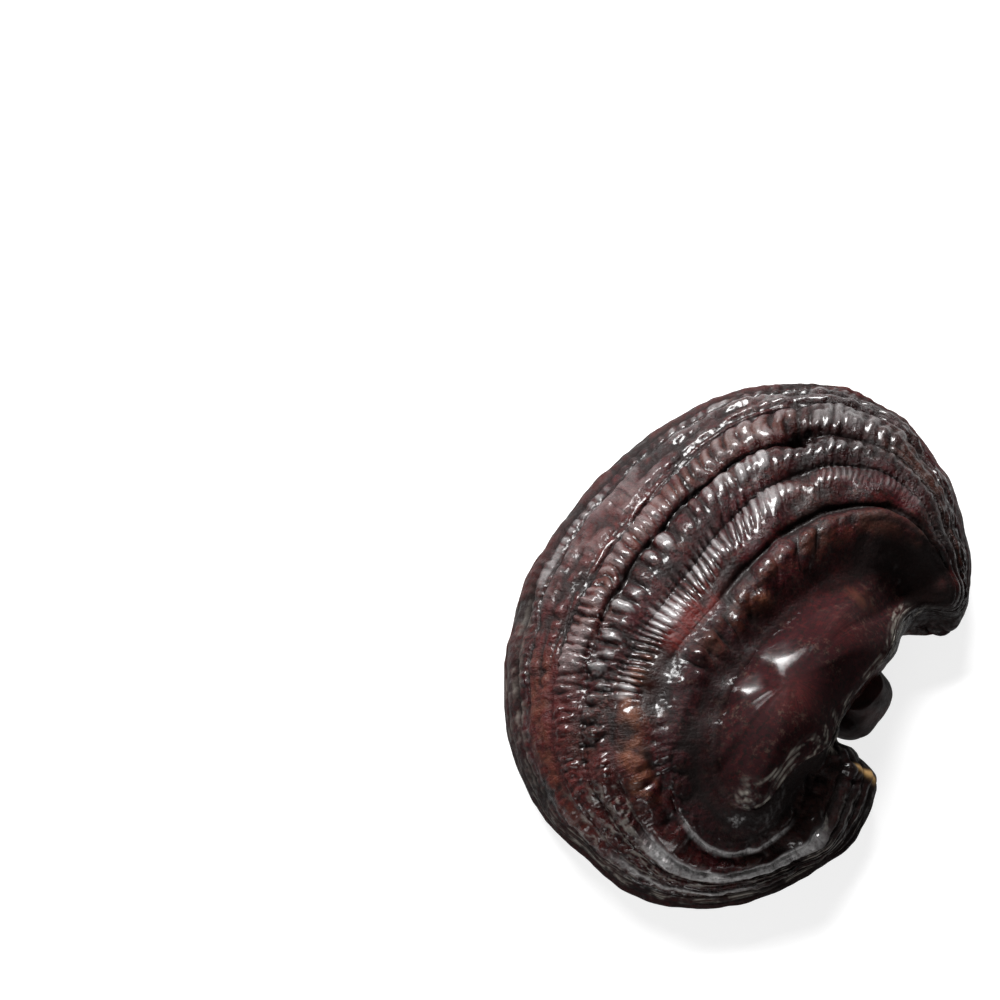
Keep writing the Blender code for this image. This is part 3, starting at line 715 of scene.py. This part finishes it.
# Where colours, gloss and fine wrinkles lie. A patch is its amount, spokes from and to and their
# softness, bands from and to and theirs. Two more numbers show it on relief alone: the height at
# which it is full, and what is taken off. A spot is its plan x, y, radius and amount.
capMarks = {
    # parts of the cap that masks share, each the largest of its patches
    "parts": {
        "boss": ((1, 0, 32, 1, -1.4, 0.1, 0.22),),
        "lobe": ((1, -3, 3.4, 1.5, -0.02, 7.6, 0.15),),
        "hollow": ((1, 19.5, 24, 1.5, -0.1, 0.9, 0.3), (0.5, 19.5, 24, 1.5, -0.1, 1.8, 0.6)),
        "rim": ((1, 2, 19, 1.5, 6, 8.2, 0.3),),
        "notchSide": ((1, 23.5, 34, 1.5, -0.75, 1, 0.3),),
        "notchEdge": ((1, 24.5, 30.5, 0.8, -0.10, 5, 0.05), (1, 29.5, 37, 0.8, -0.2, 0.05, 0.04)),
        "footSide": ((1, 7, 21, 1.5, -0.28, 0.25, 0.15),),
    },
    "upperRim": (12, 20, 1.5),  # spokes from and to, softness
    "top": (0.5, 7),  # bands that crevices, dips and raised parts lie in
    "fan": (0.6, 6),  # bands that are wrinkled all over
    # width of the painted shade in crevices, share left where bands run together, and up to which band what
    # share is left
    "crevice": (0.55, 0.3, 2.5, 0.5),
    # depth at which a dip between raised relief is in full painted shade
    "dipDepth": 0.38,
    "raisedHeight": 0.8,
    # of each mask: an even amount, shares of the parts, patches and spots
    "even": {"gloss": 0.42, "uneven": 0.2},
    "shares": {
        # painted shade: crevices, dips, the lower lobe under the boss, the hollow and the rim, less on the
        # upper rim
        "shade": {
            "crevice": 0.8, "dip": 0.88, "lobe": 0.55, "hollow": 0.85, "rim": 0.5,
            "upperRim": -0.35,
        },
        "wine": {"boss": 1},
        "wrinkle": {"fan": 0.2},
        "dull": {
            "notchSide": 1, "footSide": 1, "hollow": 0.7, "lobe": 0.4, "rim": 0.5,
            "upperRim": -0.4, "boss": 0.85, "glints": -0.55,
        },
        "gloss": {
            "raised": 0.5, "boss": -0.24, "lobe": -0.2, "footSide": -0.5, "notchSide": -0.5,
            "hollow": -0.3, "rim": -0.6,
        },
        "uneven": {"boss": -0.175},
    },
    "patches": {
        # painted shade on the cliff at the lower lobe, the valley around the boss, the crease and the notch
        # wall; the last three patches only darken the upper bands
        "shade": (
            (0.35, -3, 5, 1, 0, 1.3, 0.15), (0.55, 4, 23, 2, -0.16, 0.75, 0.28),
            (0.15, 14.2, 22, 1, 1.55, 2.12, 0.2), (0.7, 23, 25.6, 0.8, 0.25, 8.2, 0.5),
            (0.55, 17.5, 23, 1, 3, 6.2, 0.3), (0.15, 11, 17.5, 1, 4, 5, 0.3),
            (0.3, 11.5, 17, 1, 6.15, 6.95, 0.15),
        ),
        "ochre": (
            (0.95, 8.2, 11.6, 0.8, 2.1, 3, 0.35), (0.3, 12.5, 17, 1, 4.1, 4.9, 0.25),
            (0.4, 19, 21.5, 0.8, 3.4, 5.2, 0.4), (0.45, 8.6, 11, 0.8, 5, 6, 0.3),
            (0.25, 13.5, 20, 1.5, 0.5, 1.6, 0.3),
        ),
        "ember": (
            (0.95, 11.2, 14.4, 0.9, 1.75, 2.75, 0.35), (0.35, 8.5, 14, 1.5, 4, 6, 0.5),
            (0.25, 6, 9, 1, 2.2, 6, 0.5), (0.5, 12, 19, 1.5, 6.3, 8.4, 0.2),
        ),
        "wine": ((1, 5, 15, 2, -0.3, 2.1, 0.4),),
        # painted sheen: a crescent highlight and pale reflections on the bottom ridges, and pale tops of
        # combs, beads and bands where the relief is high
        "bloom": (
            (0.9, 3.6, 6.2, 1, 1.72, 2.2, 0.2), (1.4, 3.4, 6.4, 1.2, 2.8, 3.75, 0.25),
            (0.8, 4.8, 7, 0.8, 5.15, 5.65, 0.2), (0.42, 11, 19, 1.5, 2.4, 3.1, 0.3, 0.5, 0),
            (0.5, 11.5, 18, 1.5, 3.3, 3.98, 0.15, 0.7, 0.25),
            (0.45, 11, 14.5, 1, 2.3, 3.3, 0.3, 0.5, 0),
            (0.1, 13, 18, 1.5, 5.1, 5.98, 0.15, 0.4, -0.2),
            (0.2, 11.5, 18, 1, 4.15, 4.95, 0.2, 0.4, 0),
            (0.3, 13, 18, 1, 5.95, 6.25, 0.1, 0.3, 0.5),
        ),
        "wrinkle": ((1, 8, 20.5, 1.5, 2.35, 5, 0.3), (0.7, 2, 20, 1.5, 3, 6.1, 0.3)),
        "dull": ((0.4, 5, 13, 1.5, 0.2, 1.8, 0.3),),
        "gloss": (
            (-0.15, 0, 32, 1, -0.1, 2.15, 0.2), (-0.12, 10.5, 15.5, 1, 3, 4.2, 0.3),
            (-0.4, 5, 13, 1.5, 0.4, 1.7, 0.3), (-0.15, 7, 12, 1, 3, 6, 0.3),
            (-0.35, 7.8, 9.2, 0.6, 2.1, 3.2, 0.3), (-0.8, 8, 22, 1, 6.1, 7.4, 0.2),
            (-0.6, 10, 14.5, 1, 5, 6.1, 0.2), (-0.25, 11, 17.5, 1, 4, 5.2, 0.3),
            (0.15, 17.5, 23, 1, 3, 6.2, 0.3), (-0.4, 13.5, 23, 1.5, 0.2, 2.4, 0.4),
        ),
    },
    "spots": {
        "ochre": ((3, 0.3, 2.6, 0.5), (26.6, 2.1, 2.2, 0.4), (24, 5.5, 3, 0.25), (36, 22, 7, 0.15)),
        "ember": ((8, -25.5, 5, 0.3), (20, -6.5, 7, 0.2), (12, -22, 4, 0.1)),
        "gloss": (
            (-0.9, -21.6, 2.5, 1.3), (5, -14, 3, 1.2), (3.2, -17.8, 1.5, -0.6),
            (3.8, -21.8, 1.8, -0.6), (13.5, -9.5, 4, -0.3), (-8.2, -10.3, 1.6, 0.5),
            (-11, -14.4, 1.4, 0.5), (-2.9, -6.2, 1.6, 0.4), (-0.8, -2.5, 1.5, 0.4),
            (-14.9, -20.6, 1.5, 0.4),
        ),
    },
    "emberGlow": (0.3, 15, 4, 4.6, 0.5),  # amount, spoke and reach, band and reach
    # torn flesh: spoke, its slant in spokes a band past a band, width, bands from and to, softness
    "tear": (31.9, 0.2, 3.4, 0.15, 3.7, 6.7, 0.6),
    # pore face: band that it starts after, later by so much between two spokes, softness
    "pores": (8, 0.9, 21.5, 31, 0.25),
    # dry lines at the notch: a band of the boss, a band of the fan, how far they wander, power
    "dryLines": (18, 0.8, 0.7, 4),
    # painted sheen on the bottom terraces: a patch, pale where the faces drop outward as steeply as the
    # step slope
    "stepFaceSheen": (0.5, 2, 8.2, 1, 2.9, 6.9, 0.15),
    "stepSlope": 0.03,
    # pale lines on the rim's layers, a patch; up to band 7 they sit on the crests of the rings as a painted
    # highlight
    "rimLinesAndHighlight": (0.3, 4, 11.5, 1.5, 6.1, 8, 0.1),
    "rimLayers": (6.08, 4, 10),  # band they start at, layers up to band 7 and up to 8
    "deepestShade": 0.92,
    "grain": (9, 1.8),  # size of a spoke and a band for the streaks
}


# A patch on the cap: its amount times a stretch of spokes times a belt of bands, and on relief alone
# where a full height is given.
def patch(place, zone, relief, amount, start, end, soft, first, last, fade, full=None, less=0.0):
    grid = amount * stretch(place, start, end, soft) * belt(zone, first, last, fade)
    return grid if full is None else grid * ease(relief / full - less)


# Masks that tell the crust's material where its colours, gloss and fine wrinkles lie: sums of
# parts, patches and spots. The shade mask is painted shade, in crevices, which are bells across the
# growth lines, and in dips where the relief is low. Layers are a sine's power.
def capMasks(points, place, zone, width, relief, marks):
    lay = lambda rows: [patch(place, zone, relief, *row) for row in rows]
    parts = {key: np.maximum.reduce(lay(rows)) for key, rows in marks["parts"].items()}
    top = (zone > marks["top"][0]) & (zone < marks["top"][1])
    firm = alongSpokes(capForm["firmness"], place[:, 0])
    nearLine = np.abs(zone - np.round(zone)) * width
    half, least, inner, share = marks["crevice"]
    crevice = np.exp(-((nearLine / half) ** 2)) * top * (least + (1 - least) * firm)
    parts["crevice"] = crevice * np.where(zone < inner, share, 1.0)
    parts["dip"] = ease(-relief / marks["dipDepth"]) * top
    parts["raised"] = ease(relief / marks["raisedHeight"]) * top
    parts["upperRim"] = parts["rim"] * stretch(place, *marks["upperRim"])
    parts["fan"] = (zone > marks["fan"][0]) & (zone < marks["fan"][1])
    parts["glints"] = parts["boss"] * np.minimum(nearSpots(points, marks["spots"]["gloss"]), 1.0)
    masks = {}
    for key in ("shade", "ochre", "ember", "wine", "bloom", "wrinkle", "dull", "gloss", "uneven"):
        shares = marks["shares"].get(key, {})
        mask = marks["even"].get(key, 0.0) + sum(share * parts[part] for part, share in shares.items())
        mask = mask + sum(lay(marks["patches"].get(key, ())))
        masks[key] = mask + nearSpots(points, marks["spots"].get(key, ()))
    amount, spoke, reach, band, spread = marks["emberGlow"]
    glow = np.exp(-((spokesFrom(place, spoke) / reach) ** 2) - ((zone - band) / spread) ** 2)
    masks["ember"] = (masks["ember"] + amount * glow) * (zone < 7)
    masks["ochre"] = masks["ochre"] * (zone < 7)
    spoke, slant, band, thickness, *bands = marks["tear"]
    away = spokesFrom(place, spoke + slant * (zone - band))
    masks["torn"] = np.exp(-((away / thickness) ** 2)) * belt(zone, *bands)
    band, later, start, end, soft = marks["pores"]
    masks["pores"] = ease((zone - band - later * stretch(place, start, end)) / soft)
    onBoss, onFan, wander, power = marks["dryLines"]
    lines = zone * np.where(zone < 0, onBoss, onFan) + wander * weave(place * 1.5, zone * 4, 5, 48)
    first, inner, outer = marks["rimLayers"]
    layers = np.where(zone < 7, inner * (zone - first) / (7 - first), outer * zone)
    steps, rim = lay((marks["stepFaceSheen"], marks["rimLinesAndHighlight"]))
    # pale dry lines along the notch edge, painted sheen where terrace faces drop outward, and pale rim
    # lines that up to band 7 are a painted highlight on the ring crests
    masks["dry"] = (
        np.abs(np.sin(np.pi * lines)) ** power * parts["notchEdge"]
        + ease(-np.gradient(relief, axis=1) / marks["stepSlope"]) * steps
        + np.abs(np.sin(np.pi * layers)) ** power * rim
    )
    zeros = np.zeros(points.shape[:2])
    masks = {key: np.clip(grid + zeros, 0, 1) for key, grid in masks.items()}
    masks["shade"] = np.minimum(masks["shade"], marks["deepestShade"])
    turn = 2 * np.pi * place / spokeCount + zeros
    radius = marks["grain"][0] * spokeCount / (2 * np.pi)
    grain = np.dstack([np.cos(turn) * radius, np.sin(turn) * radius, zone * marks["grain"][1] + zeros])
    return {"grain": grain, **masks}


# The cap with its relief laid on along the normals, nothing below the floor.
def makeCap(form):
    points, place, zone, width = capSurface(form)
    relief = capRelief(points, place, zone, width, capDetail)
    masks = capMasks(points, place, zone, width, relief, capMarks)
    points = points + outward(points) * relief[:, :, None]
    points[:, :, 2] = np.maximum(points[:, :, 2], 0.0)
    return skinMesh("cap_skin", points, masks, makeCapMaterial(capLook))


stemForm = {
    "centre": np.array((24.5, -11.7)),
    "sides": 180,
    "rows": (14, 90, 20),  # top, side, foot
    "topHeight": 11.7,
    "topRadius": 6.2,
    "bulgeRadius": 8.9,
    "bulgeHeight": 6,
    "footRadius": 7.7,
    "waves": ((3, 0.6, 0.04), (5, 2, 0.02)),  # times around, turn, share of the radius
    "relief": ((4.5, 0.35), (2, 0.12)),  # size and height
    "reliefEase": (6, 8),  # how soon it starts at the top and ends at the foot
    "reliefSeed": 71,
}

stemLook = {
    "dark": (0.009, 0.0022, 0.0022, 1),
    "maroon": (0.034, 0.0070, 0.0060, 1),
    "cut": (0.27, 0.16, 0.075, 1),
    "cutDark": (0.09, 0.045, 0.02, 1),
    # noise masks, as for the cap
    "fibres": (700, 4, 0.55, 0.35, 0.65),
    "roughness": (420, 3, 0.55, 0.3, 0.7, 0.4, 0.65),
    "cutRoughness": 0.5,  # added on the cut
    "coat": 0.1,
    "coatRoughness": 0.15,
    "specularLevel": 0.3,
    "patchScale": 140,
    "grainScale": 1500,
    "bumpDistance": 0.001,
    "broadBump": (330, 2),  # scale and detail
    "broadHeight": 0.3,
    "grainHeight": 0.08,
}


# Bark: two maroons in soft patches, and pale fibres where it is cut. The bark has a thin coat.
def makeStemMaterial(look):
    material, tree, shader, place, patches, grain = newMaterial("stemBark", look)
    cut = attribute(tree, "cut")
    bark = mixColour(tree, patches, look["dark"], look["maroon"])
    flesh = mixColour(tree, noiseMask(tree, place, *look["fibres"]), look["cutDark"], look["cut"])
    colour = mixColour(tree, cut, bark, flesh)
    roughness = noiseMask(tree, place, *look["roughness"])
    roughness = calculate(tree, "ADD", roughness, product(tree, cut, look["cutRoughness"]), True)
    coat = product(tree, calculate(tree, "SUBTRACT", 1.0, cut), look["coat"])
    broad = product(tree, noise(tree, place, *look["broadBump"]), look["broadHeight"])
    height = total(tree, broad, product(tree, grain, look["grainHeight"]))
    finishMaterial(tree, shader, colour, roughness, coat, height, look["bumpDistance"])
    return material


# The stem: a disc for its top, a side whose radius swells as a sine to the bulge and draws in as a
# cosine below it, and a flat cut foot. Its radius waves a few times around.
def makeStem(form):
    top, side, foot = form["rows"]
    angle = -2 * np.pi * ramp(form["sides"])
    t = np.append(ramp(side), 1.0)
    bulge = 1 - form["bulgeHeight"] / form["topHeight"]
    above = np.clip(t / bulge, 0, 1) * np.pi / 2
    below = np.clip((t - bulge) / (1 - bulge), 0, 1) * np.pi / 2
    sideRadius = form["topRadius"] + (form["bulgeRadius"] - form["topRadius"]) * np.sin(above)
    sideRadius += (form["footRadius"] - form["bulgeRadius"]) * (1 - np.cos(below))
    footRadius = form["footRadius"] * (1 - ramp(foot)[1:])
    radius = np.concatenate([form["topRadius"] * ramp(top), sideRadius, footRadius, [0.0]])
    height = np.concatenate([
        np.full(top, form["topHeight"]), form["topHeight"] * (1 - t), np.zeros(foot)])
    waves = 1 + sum(share * np.sin(times * angle + turn) for times, turn, share in form["waves"])
    reach = waves[:, None] * radius
    direction = np.dstack([np.cos(angle), np.sin(angle)])[0]
    plan = form["centre"] + direction[:, None] * reach[:, :, None]
    points = np.dstack([plan, np.broadcast_to(height, reach.shape)])
    start, end = form["reliefEase"]
    onSide = np.concatenate([np.zeros(top), ease(t * start) * ease((1 - t) * end), np.zeros(foot)])
    relief = sum(depth * cloud(points, size, form["reliefSeed"] + k)
                 for k, (size, depth) in enumerate(form["relief"]))
    points = points + outward(points) * (relief * onSide)[:, :, None]
    cut = (np.arange(len(height)) > top + side).astype(float) + np.zeros(reach.shape)
    return skinMesh("stem_skin", points, {"cut": cut}, makeStemMaterial(stemLook))


cap = makeCap(capForm)
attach(cap, "root")
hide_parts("cap")
print("cap made")

stem = makeStem(stemForm)
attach(stem, "root")
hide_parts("stem")
print("stem made")

studio = {
    "elevation": 58,  # of the camera, degrees above the floor
    "lens": 85,
    "sensorWidth": 36,
    "pictureWidth": 1000,  # pixels
    "pixelsPerMm": 4.4,
    "frameMiddle": (-53.409, 36.818),  # picture's middle from the plan's zero, right and up
    "clipStart": 0.01,
    "floorHalf": 4.0,  # in metres
    "floorColour": (0.3, 0.3, 0.3, 1),
    "floorRoughness": 0.7,
    "floorGlow": (0.12, 0.8),  # on the object, and as the camera sees it
    # degrees clockwise from the back and above the floor, metres off, wide and high, watts
    "softboxes": {
        "keySoftbox": (-20, 44, 0.62, 0.52, 0.15, 12.6),
        "frontSoftbox": (200, 20, 0.7, 0.5, 0.2, 2),
    },
    # the tent around it, lighter towards one direction
    "tentColour": (1, 0.995, 0.985, 1),
    "tentTowards": (-0.15, 0.97, -0.1),
    "tentLight": (-0.1, 0.85, 0.02, 0.07),  # from and to in that direction, least and most light
    "backdropGlow": 0.85,  # as the camera sees it
}


# A rectangular lamp, degrees clockwise from the back and above the floor, that faces the object.
def softbox(name, azimuth, elevation, distance, width, height, watts):
    light = bpy.data.lights.new(name, "AREA")
    light.shape = "RECTANGLE"
    light.size, light.size_y, light.energy = width, height, watts
    lamp = addObject(name, light)
    azimuth, elevation = np.radians((azimuth, elevation))
    aside, back = np.sin(azimuth) * np.cos(elevation), np.cos(azimuth) * np.cos(elevation)
    lamp.location = distance * np.array((aside, back, np.sin(elevation)))
    lamp.rotation_euler = (np.pi / 2 - elevation, 0.0, np.pi - azimuth)


# A square floor that glows, more to the camera than on the object.
def makeFloor(form):
    mesh = bpy.data.meshes.new("floor")
    half = form["floorHalf"]
    corners = [(-half, -half, 0), (half, -half, 0), (half, half, 0), (-half, half, 0)]
    mesh.from_pydata(corners, [], [(0, 1, 2, 3)])
    material = bpy.data.materials.new("paleFloor")
    material.use_nodes = True
    tree = material.node_tree
    shader = tree.nodes["Principled BSDF"]
    shader.inputs["Base Color"].default_value = form["floorColour"]
    shader.inputs["Roughness"].default_value = form["floorRoughness"]
    seen = addNode(tree, "ShaderNodeLightPath").outputs["Is Camera Ray"]
    tree.links.new(mapRange(tree, seen, 0.0, 1.0, *form["floorGlow"]), shader.inputs["Emission Strength"])
    mesh.materials.append(material)
    return addObject("floor", mesh)


# A world whose light grows towards one direction, and a plain bright backdrop for the camera.
def makeTent(form):
    world = bpy.data.worlds.new("lightTent")
    world.use_nodes = True
    tree = world.node_tree
    direction = addNode(tree, "ShaderNodeTexCoord").outputs["Generated"]
    inputs = {0: direction, 1: form["tentTowards"]}
    along = addNode(tree, "ShaderNodeVectorMath", inputs, operation="DOT_PRODUCT").outputs["Value"]
    strength = mapRange(tree, along, *form["tentLight"])
    seen = addNode(tree, "ShaderNodeLightPath").outputs["Is Camera Ray"]
    strength = calculate(tree, "MAXIMUM", strength, product(tree, seen, form["backdropGlow"]))
    background = tree.nodes["Background"]
    tree.links.new(strength, background.inputs["Strength"])
    background.inputs["Color"].default_value = form["tentColour"]
    bpy.context.scene.world = world


# A camera that looks back along the photo's elevation, as far off as its scale and lens ask.
def makeCamera(form):
    elevation = np.radians(form["elevation"])
    sine, cosine = np.sin(elevation), np.cos(elevation)
    distance = form["lens"] / form["sensorWidth"] * form["pictureWidth"] / form["pixelsPerMm"]
    rightBy, upBy = form["frameMiddle"]
    position = np.array((rightBy, upBy * sine - distance * cosine, upBy * cosine + distance * sine))
    data = bpy.data.cameras.new("camera")
    data.lens, data.sensor_width, data.clip_start = form["lens"], form["sensorWidth"], form["clipStart"]
    camera = addObject("camera", data)
    camera.location = (position - planMiddle) * mm
    camera.rotation_euler = (np.pi / 2 - elevation, 0.0, 0.0)
    bpy.context.scene.camera = camera


floor = makeFloor(studio)
floor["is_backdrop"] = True
for name, values in studio["softboxes"].items():
    softbox(name, *values)
makeTent(studio)
makeCamera(studio)
bpy.context.scene.view_settings.view_transform = "Standard"
print("studio made")

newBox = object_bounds()
for name, box in (("CAD", cadBox), ("visual", newBox)):
    print(name, "box", [[round(v, 5) for v in corner] for corner in box])
